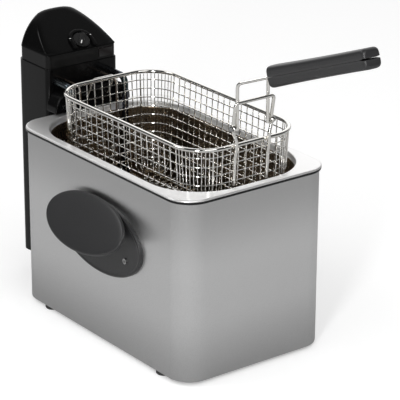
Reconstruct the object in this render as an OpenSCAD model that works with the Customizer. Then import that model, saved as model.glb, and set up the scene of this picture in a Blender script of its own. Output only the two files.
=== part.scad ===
// Deep fryer with a lift-out tank, a hook-on control head and a wire basket.
// Millimetres, +Z up, front of the fryer towards -Y, floor at z = 0.

/* [Casing] */
// Width of the steel casing
casing_w = 188; // [170:1:210]
// Length of the steel casing
casing_l = 302; // [285:1:330]
// Height of the casing's top edge above the floor
casing_top = 200; // [190:1:230]
// Gap between the floor and the casing's lower edge
foot_h = 4; // [3:0.5:8]
// Outer corner radius of the casing
casing_r = 26; // [20:1:34]
// Thickness of the casing sheet
casing_t = 1; // [0.8:0.1:1.5]
// Width of the folded lip under the casing
lip_w = 16; // [14:1:20]
// Radius of a rubber foot
foot_r = 8; // [6:0.5:9]
// Height of the upstand round the base tray
tray_rim_h = 12; // [8:1:16]

/* [Carry handles] */
// Half length of a handle's backing ellipse
back_a = 75; // [70:1:84]
// Half height of a handle's backing ellipse
back_b = 41; // [38:1:46]
// Height of the backing ellipse's centre above the floor
back_z = 125; // [118:1:128]
// Thickness of the backing ellipse
back_t = 4.5; // [3.5:0.5:6]
// Half length of the slanted grip plate
hood_a = 67; // [62:1:74]
// Half depth of the slanted grip plate, along its slope
hood_b = 31; // [28:1:34]
// Thickness of the slanted grip plate
hood_t = 5; // [4:0.5:6]
// Slope of the grip plate from upright
hood_tilt = 33; // [28:1:36]
// Distance of the grip plate's middle from the casing
hood_out = 21; // [19:0.5:24]
// Height of the grip plate's middle above the backing's centre
hood_up = 18.5; // [16:0.5:21]
// Half length of the neck where it leaves the backing
neck_a = 52; // [46:1:56]
// Half height of the neck where it leaves the backing
neck_b = 14; // [12:1:16]
// Height of the neck above the backing's centre
neck_up = 22; // [20:1:24]
// Half distance between a handle's two screws
screw_y = 48; // [42:1:52]
// Distance of the screws below the backing's centre
screw_down = 13; // [10:1:20]
// Distance of the carry handles before the casing's middle
handle_fwd = 6; // [0:1:10]

/* [Tank] */
// Thickness of the tank's steel
tank_t = 1; // [0.8:0.1:1.2]
// Width of the flat flange round the opening
flange_w = 11.5; // [10:0.5:14]
// Overhang of the rolled edge beyond the casing
roll_out = 2.2; // [1.8:0.1:2.6]
// Height of the rolled edge
roll_h = 5; // [4:0.5:6]
// Corner radius of the tank's opening
opening_r = 58; // [50:1:66]
// Depth of the tank below the flange
tank_depth = 182; // [165:1:190]
// Taper of each wall from flange to floor
tank_taper = 4; // [2:0.5:8]
// Radius between wall and floor of the tank
tank_floor_r = 16; // [10:1:20]

/* [Control head] */
// Width of the column
head_w = 94; // [88:1:98]
// Depth of the column, front to back
head_d = 62; // [56:1:68]
// Distance of the column's front from the casing's rear
head_gap = 12; // [10:0.5:13]
// Height of the column's underside
head_z0 = 24; // [18:1:40]
// Height of the column above the casing's top edge
head_rise = 53; // [50:1:60]
// Wall of the head's mouldings
head_t = 2.5; // [2:0.1:3]
// Height of the recessed collar
collar_h = 14.5; // [12:0.5:18]
// Inset of the collar from the column
collar_inset = 3.5; // [2.5:0.5:4]
// Height of the dome's arch above the collar
dome_h = 39.5; // [36:0.5:44]
// Inset of the dome's foot from the column's sides
dome_inset = 1.5; // [1:0.5:2]
// Depth of the arch's centre below the collar's top
dome_sink = 22; // [10:1:30]
// Depth of the rear cover
cover_d = 15; // [12:1:18]
// Radius of the thermostat knob
knob_r = 10; // [9:0.5:12]
// Height of the thermostat knob
knob_h = 6; // [5:0.5:9]
// Sideways place of the knob on the dome
knob_x = 6; // [0:1:10]
// Radius of the thermostat spindle
spindle_r = 3; // [2.5:0.25:3.5]

/* [Heating element] */
// Radius of the heater tube
heater_r = 3.7; // [3.2:0.1:4]
// Bend radius between two runs of the heater
heater_bend = 12; // [11:0.5:12.5]
// Height of the heater above the tank's floor
heater_lift = 24; // [16:1:30]
// Length of the heater's runs
heater_l = 200; // [150:1:210]
// Distance of the inner runs' rear bend from the outer runs' rear end
heater_short = 40; // [30:1:60]
// Radius of a sensing bulb
bulb_r = 3; // [2.5:0.25:3.5]
// Length of a sensing bulb
bulb_l = 80; // [60:1:100]

/* [Basket] */
// Room between the basket's rim and the tank's opening at each side, to the wire's centre
basket_side = 15.2; // [14:0.2:18]
// Room between the basket's rim and the tank's opening at each end, to the wire's centre
basket_end = 14; // [12.6:0.2:16]
// Corner radius of the basket's rim
basket_r = 36; // [30:1:40]
// Depth of the basket
basket_h = 113; // [100:1:115]
// Height of the rim above the casing when it hangs to drain
basket_hang = 46; // [40:1:50]
// Offset of the basket towards the front
basket_fwd = 8.5; // [8:0.5:10]
// Taper of each basket wall
basket_taper = 6; // [4:0.5:8]
// Radius of the rim wire
rim_r = 2.15; // [1.8:0.05:2.4]
// Radius of a mesh wire
mesh_r = 0.6; // [0.5:0.05:0.7]
// Distance between mesh wires
mesh_pitch = 10; // [8:0.5:14]
// Bend radius of the mesh wires at the floor
mesh_bend = 12; // [10:0.5:12]
// Length of the bracket's rods below the rim
rod_l = 42; // [36:1:60]
// Radius of the bracket and yoke wire
yoke_r = 1.8; // [1.6:0.05:1.9]

/* [Basket handle] */
// Height of the handle's pivot above the rim
pivot_up = 20; // [19:0.5:24]
// Height of the yoke's arms above the pivot
arm_h = 46; // [40:1:52]
// Length of the grip
grip_l = 151; // [140:1:170]
// Height of the grip at the yoke
grip_h = 22.5; // [21:0.5:26]
// Width of the grip
grip_w = 23; // [20:0.5:26]
// Slope of the grip above level
grip_tilt = 21; // [15:1:25]
// Length of the yoke's ends inside the grip
yoke_in = 14; // [10:1:20]
// Half distance between the yoke's ends inside the grip
yoke_x = 5; // [4:0.5:6]

/* [Hidden] */
$fn = 48;
seat = 0.3;          // clearance between pieces on different bodies
running = 0.06;      // radial clearance of a turning or sliding pin
layer = 2 * mesh_r + 0.1;
arch_n = 40;

casing_side = casing_w / 2;
casing_rear = casing_l / 2;
flange_top = casing_top + roll_h;
opening_w = casing_w + 2 * roll_out - 2 * flange_w;
opening_l = casing_l + 2 * roll_out - 2 * flange_w;
tank_floor = flange_top - tank_depth;

head_front = casing_rear + head_gap;
head_rear = head_front + head_d;
head_top = casing_top + head_rise;
collar_top = head_top + collar_h;
cover_front = head_rear - cover_d;
dome_half = head_w / 2 - dome_inset;
dome_front = head_front + dome_inset + 1;
dome_rear = head_rear - dome_inset - 1;
edge_h = 0.8;                      // upright edge under the dome's slope
slope_z = collar_top + edge_h;     // where the slope starts, at the dome's front
slope_a = atan((dome_h - edge_h - 0.5) / (dome_rear - dome_front));
slope_drop = 1.35 * head_t;       // upright thickness of the sloped face
slope_t = slope_drop * cos(slope_a);

rail_t = 1.5;
rail_w = 60;
rail_h = 120;
rail_z = 60;
rail_depth = head_gap - 1.5;
rail_slot = 32;
rail_ear = 10;
lift_gap = 0.8;      // room between the rising tongue and the tank's rolled edge
tongue_w = rail_w - 2 * rail_t - 2 * seat;
tongue_front = casing_rear + max(rail_t + seat, roll_out + lift_gap);
tongue_t = casing_rear + rail_depth - rail_t - seat - tongue_front;

shroud_w = 100;
shroud_d = 20;
shroud_z = flange_top + 2.3;
shroud_top = head_top - 23;
shroud_front = head_front - shroud_d;
socket_d = 6;

heater_z = tank_floor + heater_lift;
heater_x = [heater_bend, 3 * heater_bend];
leg_y = shroud_front - 9.5;
leg_top = shroud_top + heater_r + 4.3;
leg_end = head_front + head_t + 1.5;   // inner end of the legs, past the front shell
leg_bend = 9;
foot_bend = 14;
run_front = leg_y - foot_bend - heater_l + heater_bend;
bulb_x = 2 * heater_bend;
tube_r = 0.9;

basket_w = opening_w - 2 * basket_side;
basket_l = opening_l - 2 * basket_end;
rim_z = casing_top + basket_hang;
mesh_z = rim_z - basket_h;
basket_y = -basket_fwd;
rim_front = basket_y - basket_l / 2;
rim_rear = basket_y + basket_l / 2;
lean = atan(basket_taper / (basket_h - rim_r));

pivot_z = rim_z + pivot_up;
rod_x = 21;
eye_x = 24.5;
arm_x = 19.6;
rod_y = rim_front - rim_r - yoke_r - 0.1;
pivot_y = rod_y + 1.2;
bar_y = pivot_y - 2 * yoke_r - seat;
bar_z = pivot_z + 27;
grip_y = pivot_y - 36;
grip_z = pivot_z + arm_h + 14;
eye_r = 4;
eye_w = 3.4;

front_y = grip_y - grip_l * cos(grip_tilt) - 0.3 * grip_h * sin(grip_tilt);
rear_y = head_rear + 6;
middle_y = (front_y + rear_y) / 2;

// ---- shared shapes ----

// Points of a rounded rectangle, n of them to each corner.
function rounded(w, l, r, n = 9) = [
    for (c = [0:3], i = [0:n - 1])
        let (a = 90 * c + 90 * i / (n - 1),
             sx = (c == 0 || c == 3) ? 1 : -1,
             sy = c < 2 ? 1 : -1)
            [sx * (w / 2 - r) + r * cos(a), sy * (l / 2 - r) + r * sin(a)]
];

function level(points, z) = [for (p = points) [p[0], p[1], z]];

// Joins rings of equally many points into one closed skin.
module skin(rings) {
    n = len(rings[0]);
    m = len(rings);
    points = [for (r = rings) each r];
    sides = [
        for (j = [0:m - 2], i = [0:n - 1])
            let (a = j * n + i, b = j * n + (i + 1) % n)
                each [[a, b, b + n], [a, b + n, a + n]]
    ];
    ends = [[for (i = [n - 1:-1:0]) i], [for (i = [0:n - 1]) (m - 1) * n + i]];
    polyhedron(points, [for (f = concat(sides, ends)) [for (k = [len(f) - 1:-1:0]) f[k]]]);
}

// A slab with rounded corners standing between two heights.
module slab(w, l, r, z0, z1) {
    translate([0, 0, z0])
        linear_extrude(z1 - z0)
            outline(w, l, r);
}

module outline(w, l, r) {
    union() {
        square([w - 2 * r, l], center = true);
        square([w, l - 2 * r], center = true);
        for (x = [-1, 1], y = [-1, 1])
            translate([x * (w / 2 - r), y * (l / 2 - r)])
                circle(r);
    }
}

function unit(v) = v / norm(v);

function hundredth(x) = round(100 * x) / 100;

// Rounds each inner corner of a route with the radius given for it.
function arcs(route, radii, step = 18) = [
    for (i = [0:len(route) - 1])
        if (i == 0 || i == len(route) - 1) route[i]
        else let (u = unit(route[i - 1] - route[i]),
                  v = unit(route[i + 1] - route[i]),
                  turn = 180 - acos(u * v),
                  cut = radii[i - 1] * tan(turn / 2),
                  mid = route[i] + unit(u + v) * radii[i - 1] / cos(turn / 2),
                  from = route[i] + u * cut - mid,
                  to = route[i] + v * cut - mid,
                  count = max(1, ceil(turn / step)))
            each [for (k = [0:count])
                let (f = k / count)
                    mid + (sin((1 - f) * turn) * from + sin(f * turn) * to) / sin(turn)]
];

function heading(path, i) =
    i == 0 ? unit(path[1] - path[0])
    : i == len(path) - 1 ? unit(path[i] - path[i - 1])
    : unit(unit(path[i] - path[i - 1]) + unit(path[i + 1] - path[i]));

function square_to(v, t) = unit(v - (v * t) * t);

// Round wire along a path, with its ring carried along without twist.
module wire(path, r, start, sides = 10) {
    last = len(path) - 1;
    across = [for (i = 0, u = square_to(start, heading(path, 0)); i <= last;
                   i = i + 1, u = i <= last ? square_to(u, heading(path, i)) : u) u];
    skin([for (i = [0:last])
        let (u = across[i], v = cross(heading(path, i), u))
            [for (k = [0:sides - 1])
                path[i] + r * (cos(360 * k / sides) * u + sin(360 * k / sides) * v)]]);
}

// Straight round bar between two points.
module bar(from, to, r) {
    d = to - from;
    translate(from)
        rotate([0, acos(d[2] / norm(d)), atan2(d[1], d[0])])
            cylinder(h = norm(d), r = r);
}

// Part of a ring of round wire about Z.
module bend(radius, r, start, turn) {
    rotate([0, 0, start])
        rotate_extrude(angle = turn)
            translate([radius, 0])
                circle(r, $fn = 24);
}

module placed() {
    translate([0, -middle_y, 0])
        children();
}

module both_sides() {
    children();
    mirror([1, 0, 0]) children();
}

// ---- casing ----

module casing() {
    inner_r = casing_r - casing_t;
    color("silver")
        placed()
            difference() {
                slab(casing_w, casing_l, casing_r, foot_h, casing_top);
                slab(casing_w - 2 * casing_t, casing_l - 2 * casing_t, inner_r,
                     foot_h + casing_t, casing_top + 1);
                slab(casing_w - 2 * lip_w, casing_l - 2 * lip_w, casing_r - lip_w,
                     foot_h - 1, foot_h + casing_t + 1);
            }
}

module base_tray() {
    tray_z = foot_h + casing_t;
    w = casing_w - 2 * casing_t - 2 * seat;
    l = casing_l - 2 * casing_t - 2 * seat;
    r = casing_r - casing_t - seat;
    wall = 2;
    color([0.09, 0.09, 0.1])
        placed()
            union() {
                slab(w, l, r, tray_z, tray_z + wall);
                difference() {
                    slab(w, l, r, tray_z, tray_z + tray_rim_h);
                    slab(w - 2 * wall, l - 2 * wall, r - wall,
                         tray_z + wall / 2, tray_z + tray_rim_h + 1);
                }
                for (y = [-2:2])
                    translate([-w / 2 + wall / 2, y * l / 6 - wall / 2, tray_z])
                        cube([w - wall, wall, wall + 4]);
            }
}

module feet() {
    color([0.06, 0.06, 0.06])
        placed()
            for (x = [-1, 1], y = [-1, 1])
                translate([x * (casing_side - foot_r - 0.5), y * (casing_rear - 47), 0]) {
                    cylinder(h = 1, r1 = foot_r - 0.8, r2 = foot_r);
                    translate([0, 0, 1])
                        cylinder(h = foot_h - 1, r = foot_r);
                }
}

// ---- carry handles ----

// A ring of the handle: an ellipse at a distance out, tilted about its long axis.
function oval(a, b, out, up, tilt) = [
    for (i = [0:43])
        let (t = 360 * i / 44)
            [out + b * sin(tilt) * -sin(t), a * cos(t), up + b * cos(tilt) * sin(t)]
];

module carry_handle() {
    s = sin(hood_tilt);
    c = cos(hood_tilt);
    hood_z = back_z + hood_up;
    half_t = hood_t / 2;
    root = [neck_a, neck_b, back_t - dish, back_z + neck_up];   // half sizes, distance out and height
    join = [neck_a - 2, neck_b - 2, hood_out - 10 * s - half_t * c, hood_z + 10 * c - half_t * s];
    rings = concat(
        [oval(back_a, back_b, 0, back_z, 0),
         oval(back_a, back_b, back_t - 1.5, back_z, 0),
         oval(back_a - 0.6, back_b - 0.6, back_t - 0.6, back_z, 0),
         oval(back_a - 2, back_b - 2, back_t, back_z, 0),
         oval(back_a - 4, back_b - 4, back_t - dish, back_z, 0)],
        [for (k = [0:4])
            let (f = k / 4, pinch = 1 - 0.1 * sin(180 * f), at = root + f * (join - root))
                oval(at[0] * pinch, at[1] * pinch, at[2], at[3], hood_tilt * f)],
        [for (p = [[-2, -1.5, -1], [-0.4, -0.4, -0.6], [0, 0, 0],
                   [-0.5, -0.5, 0.6], [-2, -2, 0.9], [-12, -9, 1], [-40, -18, 1.16]])
            oval(hood_a + p[0], hood_b + p[1],
                 hood_out + p[2] * half_t * c, hood_z + p[2] * half_t * s, hood_tilt)]
    );
    translate([casing_side, -handle_fwd, 0])
        skin(rings);
}

dish = 1;

module carry_handle_right() {
    color([0.16, 0.16, 0.17])
        placed()
            carry_handle();
}

module carry_handle_left() {
    color([0.16, 0.16, 0.17])
        placed()
            mirror([1, 0, 0]) carry_handle();
}

module carry_handle_screws() {
    color("silver")
        placed()
            both_sides()
                for (y = [-1, 1])
                    translate([casing_side + back_t - dish, y * screw_y - handle_fwd, back_z - screw_down])
                        rotate([0, 90, 0])
                            difference() {
                                cylinder(h = 1.6, r = 3);
                                for (a = [0, 90])
                                    rotate([0, 0, a])
                                        translate([-1.8, -0.4, 1])
                                            cube([3.6, 0.8, 1]);
                            }
}

// ---- tank ----

module tank() {
    top_w = opening_w;
    top_l = opening_l;
    out_w = casing_w + 2 * roll_out;
    out_l = casing_l + 2 * roll_out;
    out_r = casing_r + roll_out;
    // One ring at an inset from the opening, at a height
    function at(inset, z) = level(rounded(top_w - 2 * inset, top_l - 2 * inset, opening_r - inset), z);
    function edge(inset, z) = level(rounded(out_w - 2 * inset, out_l - 2 * inset, out_r - inset), z);
    function floor_arc(r, inset, z, a) = at(inset + r * (1 - cos(a)), z + r * (1 - sin(a)));
    outer = [for (a = [90:-18:0]) floor_arc(tank_floor_r + tank_t, tank_taper - tank_t, tank_floor - tank_t, a)];
    inner = [for (a = [0:18:90]) floor_arc(tank_floor_r, tank_taper, tank_floor, a)];
    color("gainsboro")
        placed()
            skin(concat(
                outer,
                [at(-tank_t, flange_top - 8.2),
                 at(-1.2 - tank_t, flange_top - 4.6),
                 at(-1.6 - tank_t, flange_top - tank_t),
                 edge(2.4, flange_top - tank_t),
                 edge(1.4, flange_top - 1.6),
                 edge(1.3, casing_top + seat),
                 edge(0.5, casing_top + seat),
                 edge(0, casing_top + seat + 0.8),
                 edge(0, flange_top - 1.6),
                 edge(0.6, flange_top - 0.5),
                 edge(1.8, flange_top),
                 at(-2.6, flange_top),
                 at(-1.6, flange_top - 0.6),
                 at(-1.2, flange_top - 4.2),
                 at(0, flange_top - 7.6)],
                inner
            ));
}

// ---- control head ----

module head_outline(inset) {
    w = head_w - 2 * inset;
    translate([0, (head_front + head_rear) / 2])
        union() {
            front_r = 6 - inset / 2;
            rear_r = 10 - inset / 2;
            d = head_d - 2 * inset;
            for (x = [-1, 1]) {
                translate([x * (w / 2 - front_r), -d / 2 + front_r]) circle(front_r);
                translate([x * (w / 2 - rear_r), d / 2 - rear_r]) circle(rear_r);
            }
            translate([-w / 2 + rear_r, -d / 2 + front_r]) square([w - 2 * rear_r, d - front_r]);
            translate([-w / 2 + front_r, -d / 2]) square([w - 2 * front_r, d / 2]);
            translate([-w / 2, -d / 2 + front_r]) square([w, d - front_r - rear_r]);
        }
}

module head_column() {
    difference() {
        translate([0, 0, head_z0])
            linear_extrude(head_top - head_z0) head_outline(0);
        translate([0, 0, head_z0 + head_t])
            linear_extrude(head_top - head_z0 - 2 * head_t) head_outline(head_t);
    }
}

// Holes in the column's front for the heater's legs and the bulbs' tubes
module leg_holes() {
    for (x = [-1, 1]) {
        translate([x * heater_x[1], leg_end, leg_top])
            rotate([90, 0, 0]) cylinder(h = leg_end - head_front + 2, r = heater_r + 0.15);
        translate([x * bulb_x, leg_end, leg_top])
            rotate([90, 0, 0]) cylinder(h = leg_end - head_front + 2, r = tube_r + 0.15);
    }
}

module head_front_shell() {
    color([0.07, 0.07, 0.08])
        placed()
            difference() {
              union() {
                intersection() {
                    head_column();
                    translate([-head_w, head_front - 1, 0])
                        cube([2 * head_w, cover_front - head_front + 1, head_top + 1]);
                }
                translate([-tongue_w / 2, tongue_front, rail_z + rail_t + seat])
                    cube([tongue_w, tongue_t, rail_h - 20]);
                translate([-rail_slot / 2 + seat, tongue_front, rail_z + rail_t + seat])
                    cube([rail_slot - 2 * seat, head_front - tongue_front + 1, rail_h - 20]);
              }
              leg_holes();
            }
}

module head_rear_cover() {
    color([0.07, 0.07, 0.08])
        placed()
            difference() {
                intersection() {
                    head_column();
                    translate([-head_w, cover_front, 0])
                        cube([2 * head_w, cover_d + 1, head_top + 1]);
                }
                translate([gland_x, head_rear - head_t - 1, gland_z])
                    rotate([-90, 0, 0]) cylinder(h = head_t + 2, r = gland_r + running);
                translate([reset_x, head_rear - head_t - 1, reset_z])
                    rotate([-90, 0, 0]) cylinder(h = head_t + 2, r = reset_r + running);
                for (z = vent_zs)
                    translate([-20, head_rear - head_t - 1, z])
                        cube([40, head_t + 2, 2.4]);
            }
}

gland_x = 24;
gland_z = head_z0 + 24;
gland_r = 7;
reset_x = -20;
reset_z = head_z0 + 20;
reset_r = 3.5;
vent_zs = [for (i = [0:5]) head_z0 + 60 + 7 * i];

module head_collar() {
    lens = collar_h - 5;
    color([0.05, 0.05, 0.06])
        placed()
            difference() {
                translate([0, 0, head_top])
                    linear_extrude(collar_h) head_outline(collar_inset);
                translate([0, 0, head_top - 1])
                    linear_extrude(collar_h + 2) head_outline(collar_inset + head_t);
                translate([lens_x - lens_w / 2, head_front, head_top + 2.5])
                    cube([lens_w, collar_inset + head_t + 2, lens]);
            }
}

lens_x = 29;
lens_w = 20;

module indicator_lens() {
    gap = 0.1;
    color([0.02, 0.02, 0.02])
        placed()
            translate([lens_x - lens_w / 2 + gap, head_front + collar_inset, head_top + 2.5 + gap])
                cube([lens_w - 2 * gap, head_t, collar_h - 5 - 2 * gap]);
}

module indicator_lamps() {
    color("orangered")
        placed()
            for (x = [-5, 5])
                translate([lens_x + x, head_front + collar_inset + head_t, head_top + collar_h / 2])
                    rotate([-90, 0, 0]) {
                        cylinder(h = 6, r = 2.2);
                        translate([0, 0, 6]) cylinder(h = 5, r = 1.6);
                    }
}

// Top part of an ellipse whose centre lies below the foot, as an outline in X and Z.
function arch(half, high, sink) =
    let (tall = high + sink, start = asin(sink / tall), wide = half / cos(start))
        [for (i = [0:arch_n])
            let (a = start + (180 - 2 * start) * i / arch_n)
                [wide * cos(a), tall * sin(a) - sink]];

module dome_body(inset, drop) {
    intersection() {
        translate([0, dome_rear - inset, collar_top])
            rotate([90, 0, 0])
                linear_extrude(dome_rear - dome_front - 2 * inset)
                    polygon(arch(dome_half - inset, dome_h - drop, dome_sink));
        // space under the slope
        translate([0, dome_front, slope_z - drop])
            rotate([slope_a, 0, 0])
                translate([-head_w, -head_d, -3 * head_w])
                    cube([2 * head_w, 4 * head_d, 3 * head_w]);
    }
}

// Moves to the dome's slope, with Z out of it and Y up it.
module on_slope(x, up) {
    translate([x, dome_front, slope_z])
        rotate([slope_a, 0, 0])
            translate([0, up, 0])
                children();
}

knob_up = knob_r + 1.5;

module head_dome() {
    color([0.07, 0.07, 0.08])
        placed()
            difference() {
                dome_body(0, 0);
                translate([0, 0, -0.01]) dome_body(head_t, slope_drop);
                on_slope(knob_x, knob_up)
                    translate([0, 0, -10]) cylinder(h = 20, r = spindle_r + running);
            }
}

// Horseshoe surround of the knob, open towards the front edge.
module knob_bezel() {
    outer = knob_r + 6;
    inner = knob_r + 0.8;
    color([0.07, 0.07, 0.08])
        placed()
            on_slope(knob_x, knob_up)
                linear_extrude(3.5)
                    difference() {
                        union() {
                            circle(outer);
                            translate([-outer, -knob_up + 1]) square([2 * outer, knob_up - 1]);
                        }
                        circle(inner);
                        translate([-inner, -knob_up]) square([2 * inner, knob_up]);
                    }
}

module thermostat_knob() {
    rib = 6;
    color([0.06, 0.06, 0.06])
        placed()
            on_slope(knob_x, knob_up)
                difference() {
                    union() {
                        translate([0, 0, 0.5]) cylinder(h = knob_h - 3, r = knob_r);
                        intersection() {
                            cylinder(h = knob_h + 1, r = knob_r - 1);
                            rotate([0, 0, -39]) translate([-rib / 2, -knob_r, 0.5]) cube([rib, 2 * knob_r, knob_h]);
                        }
                    }
                    translate([0, 0, -1]) cylinder(h = knob_h - 1, r = spindle_r + 0.02);
                    for (i = [0:17])
                        rotate([0, 0, 20 * i + 10])
                            translate([knob_r + 0.6, 0, -1]) cylinder(h = knob_h + 2, r = 1.2, $fn = 16);
                }
}

module knob_spindle() {
    color("silver")
        placed()
            on_slope(knob_x, knob_up)
                translate([0, 0, -spindle_down])
                    cylinder(h = spindle_down + knob_h - 2, r = spindle_r);
}

spindle_down = 12;

module thermostat_body() {
    boss = 0.9;
    w = 30;
    l = 26;
    deep = 13;
    color("tan")
        placed()
            on_slope(knob_x, knob_up)
                difference() {
                    union() {
                        translate([-w / 2, -l / 2 + 7, -slope_t - boss - deep]) cube([w, l, deep]);
                        translate([0, 0, -slope_t - boss - 1]) cylinder(h = boss + 1, r = 5.5);
                    }
                    translate([0, 0, -spindle_down - 1]) cylinder(h = 20, r = spindle_r + running);
                }
}

module thermal_cutout() {
    color("tan")
        placed()
            translate([reset_x, head_rear - head_t, reset_z])
                rotate([90, 0, 0])
                    difference() {
                        union() {
                            cylinder(h = 6, r = 7);
                            translate([0, 0, 6]) cylinder(h = 12, r = 9);
                        }
                        translate([0, 0, -1]) cylinder(h = 8, r = reset_r + running);
                    }
}

module reset_button() {
    color("firebrick")
        placed()
            translate([reset_x, head_rear - head_t - 4, reset_z])
                rotate([-90, 0, 0])
                    cylinder(h = head_t + 4 + 3, r = reset_r);
}

module interlock_switch() {
    color([0.1, 0.1, 0.1])
        placed()
            translate([switch_x - switch_w / 2, head_front - switch_d, switch_z])
                cube([switch_w, switch_d, switch_h]);
}

switch_x = 0;
switch_w = 16;
switch_d = shroud_d - 3;
switch_h = 10;
switch_z = shroud_z + 9;
plunger_r = 2;
plunger_y = shroud_front + 6;   // over the flat of the tank's flange

// The plunger drops to the tank's flange and runs in the shroud.
module interlock_plunger() {
    color("white")
        placed()
            translate([switch_x, plunger_y, flange_top + seat])
                cylinder(h = shroud_z - flange_top - seat + 7, r = plunger_r);
}

module terminal_block() {
    color("ivory")
        placed()
            difference() {
                translate([-22, head_front + head_t, head_z0 + 40]) cube([44, 14, 16]);
                for (i = [-1:1])
                    translate([14 * i, head_front + head_t + 7, head_z0 + 45])
                        cylinder(h = 20, r = 3);
            }
}

module cord_gland() {
    color([0.05, 0.05, 0.05])
        placed()
            translate([gland_x, head_rear - head_t, gland_z])
                rotate([-90, 0, 0])
                    difference() {
                        union() {
                            translate([0, 0, -2]) cylinder(h = 2, r = gland_r + 2.5);
                            translate([0, 0, -0.01]) cylinder(h = head_t + 0.02, r = gland_r);
                            translate([0, 0, head_t]) cylinder(h = 6, r1 = gland_r + 2, r2 = gland_r - 1);
                        }
                        translate([0, 0, -3]) cylinder(h = 20, r = 3.6);
                    }
}

module cover_screws() {
    color("silver")
        placed()
            for (x = [-1, 1], z = [head_z0 + 8, head_top - 10])
                translate([x * (head_w / 2 - 14), head_rear, z])
                    rotate([-90, 0, 0])
                        difference() {
                            cylinder(h = 1.5, r = 3);
                            translate([-2, -0.4, 0.8]) cube([4, 0.8, 1]);
                            translate([-0.4, -2, 0.8]) cube([0.8, 4, 1]);
                        }
}

// Rail on the casing's rear that the head's tongue drops into.
module head_rail() {
    y0 = casing_rear;
    color("silver")
        placed()
            translate([-rail_w / 2, y0, rail_z])
                difference() {
                    union() {
                        cube([rail_w, rail_depth, rail_h]);
                        translate([-rail_ear, 0, 0])
                            cube([rail_w + 2 * rail_ear, rail_t, rail_h]);
                    }
                    translate([rail_t, rail_t, rail_t])
                        cube([rail_w - 2 * rail_t, rail_depth - 2 * rail_t, rail_h]);
                    translate([(rail_w - rail_slot) / 2, rail_t, rail_t])
                        cube([rail_slot, rail_depth, rail_h]);
                }
}

module rail_rivets() {
    color("silver")
        placed()
            for (x = [-1, 1], z = [rail_z + 14, rail_z + rail_h - 14])
                translate([x * (rail_w + rail_ear) / 2, casing_rear + rail_t, z])
                    rotate([-90, 0, 0]) cylinder(h = 1.2, r = 3);
}

// Shroud over the tank's rear flange, which holds the heater's legs.
module element_shroud() {
    r = 20;
    w = shroud_w;
    h = shroud_top - shroud_z;
    color([0.05, 0.05, 0.06])
        placed()
            difference() {
                translate([0, head_front, shroud_z])
                    rotate([90, 0, 0])
                        linear_extrude(shroud_d)
                            intersection() {
                                translate([0, h / 2 - r]) outline(w, h + 2 * r, r);
                                translate([-w, 0]) square([2 * w, h]);
                            }
                for (x = [-1, 1])
                    translate([x * hanger_x, shroud_front + socket_d, hanger_z])
                        rotate([90, 0, 0]) cylinder(h = socket_d + 1, r = yoke_r + 0.15);
                translate([switch_x, plunger_y, shroud_z - 1])
                    cylinder(h = 12, r = plunger_r + running);
                translate([switch_x - switch_w / 2 - 0.2, head_front - switch_d - 0.2, switch_z])
                    cube([switch_w + 0.4, switch_d + 1, switch_h + 0.2]);
            }
}

hanger_x = 14;
hanger_z = shroud_top - 6;
hanger_run = 12;     // level distance of the hanger's knee behind its bar

module shroud_screws() {
    color("silver")
        placed()
            for (x = [-1, 1])
                translate([x * (shroud_w / 2 - 12), shroud_front, shroud_z + 7])
                    rotate([90, 0, 0])
                        difference() {
                            cylinder(h = 1.4, r = 2.6);
                            translate([-2, -0.4, 0.8]) cube([4, 0.8, 1]);
                        }
}

// Wire loop on the head that the basket's rim hangs at.
module basket_hanger() {
    y = rim_rear + rim_r + yoke_r + seat;
    knee = y + hanger_run;
    wall = shroud_front + socket_d;
    color("silver")
        placed()
            wire(arcs([[-hanger_x, wall, hanger_z], [-hanger_x, knee, hanger_z],
                       [-hanger_x, y, rim_z], [hanger_x, y, rim_z],
                       [hanger_x, knee, hanger_z], [hanger_x, wall, hanger_z]],
                      [5, 4, 4, 5]), yoke_r, [0, 0, 1]);
}

// ---- heating element ----

module heating_element() {
    side = heater_x[1];
    inner = heater_x[0];
    back = leg_y - foot_bend;
    color("dimgray")
        placed() {
            both_sides() {
                bar([side, leg_end, leg_top], [side, leg_y + leg_bend, leg_top], heater_r);
                translate([side, leg_y + leg_bend, leg_top - leg_bend])
                    rotate([90, 0, 90]) bend(leg_bend, heater_r, 90, 90);
                bar([side, leg_y, leg_top - leg_bend], [side, leg_y, heater_z + foot_bend], heater_r);
                translate([side, back, heater_z + foot_bend])
                    rotate([90, 0, 90]) bend(foot_bend, heater_r, 270, 90);
                bar([side, back, heater_z], [side, run_front, heater_z], heater_r);
                translate([(side + inner) / 2, run_front, heater_z])
                    bend(heater_bend, heater_r, 180, 180);
                bar([inner, run_front, heater_z], [inner, back - heater_short, heater_z], heater_r);
            }
            translate([0, back - heater_short, heater_z])
                bend(inner, heater_r, 0, 180);
        }
}

module element_clips() {
    reach = heater_x[1] + heater_r + 3;
    z = heater_z - heater_r;
    color("silver")
        placed()
            for (y = [run_front + 25, run_front + heater_l * 0.6])
                translate([-reach, y - 6, z - 1]) {
                    cube([2 * reach, 12, 1]);
                    for (x = [0, 2 * reach - 1])
                        translate([x, 0, 0]) cube([1, 12, 2 * heater_r]);
                }
}

// Sensing bulb between two heater runs, with its thin tube up to the head.
module bulb(side) {
    x = side * bulb_x;
    z = heater_z - heater_r + bulb_r;
    front = run_front + 20;
    turn = 8;
    up_y = leg_y;
    translate([x, front, z])
        rotate([-90, 0, 0]) cylinder(h = bulb_l, r = bulb_r);
    bar([x, front + bulb_l, z], [x, up_y - turn, z], tube_r);
    translate([x, up_y - turn, z + turn])
        rotate([90, 0, 90]) bend(turn, tube_r, 270, 90);
    bar([x, up_y, z + turn], [x, up_y, leg_top - turn], tube_r);
    translate([x, up_y + turn, leg_top - turn])
        rotate([90, 0, 90]) bend(turn, tube_r, 90, 90);
    bar([x, up_y + turn, leg_top], [x, leg_end, leg_top], tube_r);
}

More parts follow.
